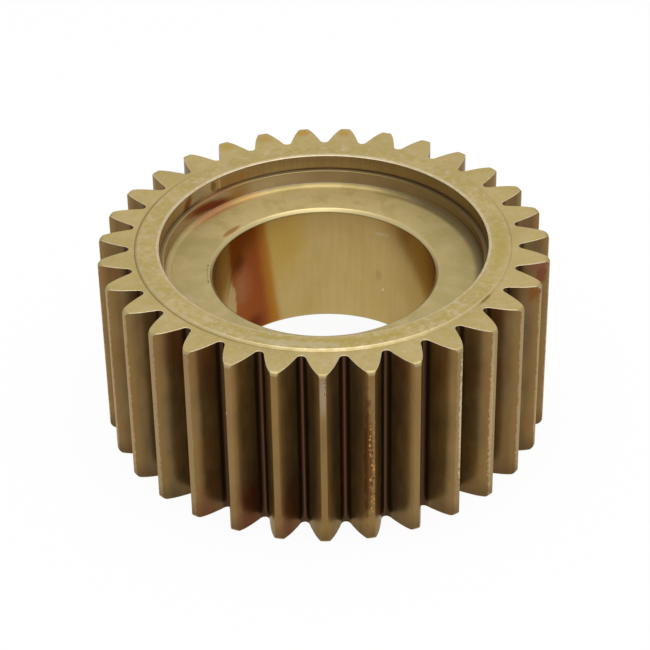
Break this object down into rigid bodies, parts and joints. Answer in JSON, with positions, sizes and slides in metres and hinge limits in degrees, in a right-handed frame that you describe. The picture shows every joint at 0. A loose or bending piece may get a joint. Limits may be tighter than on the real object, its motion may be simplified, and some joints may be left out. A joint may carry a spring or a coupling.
{
  "type": "sun gear",
  "caption": "Wide spur gear with straight involute teeth, a raised land and a stepped bearing recess on each side, and a plain through bore.",
  "frame": {"origin": "centre of the through bore, halfway along its length", "axes": "+Z along the bore axis, up as the gear lies on one of its two alike sides; +X through the middle of one tooth"},
  "size_m": [0.1647, 0.1648, 0.075],
  "materials": {
    "steel": "machined hardened steel with a khaki oil film, brown flanks, oil stains and spots of rust"
  },
  "bodies": {
    "root": {"sun_gear": "steel"}
  },
  "joints": []
}
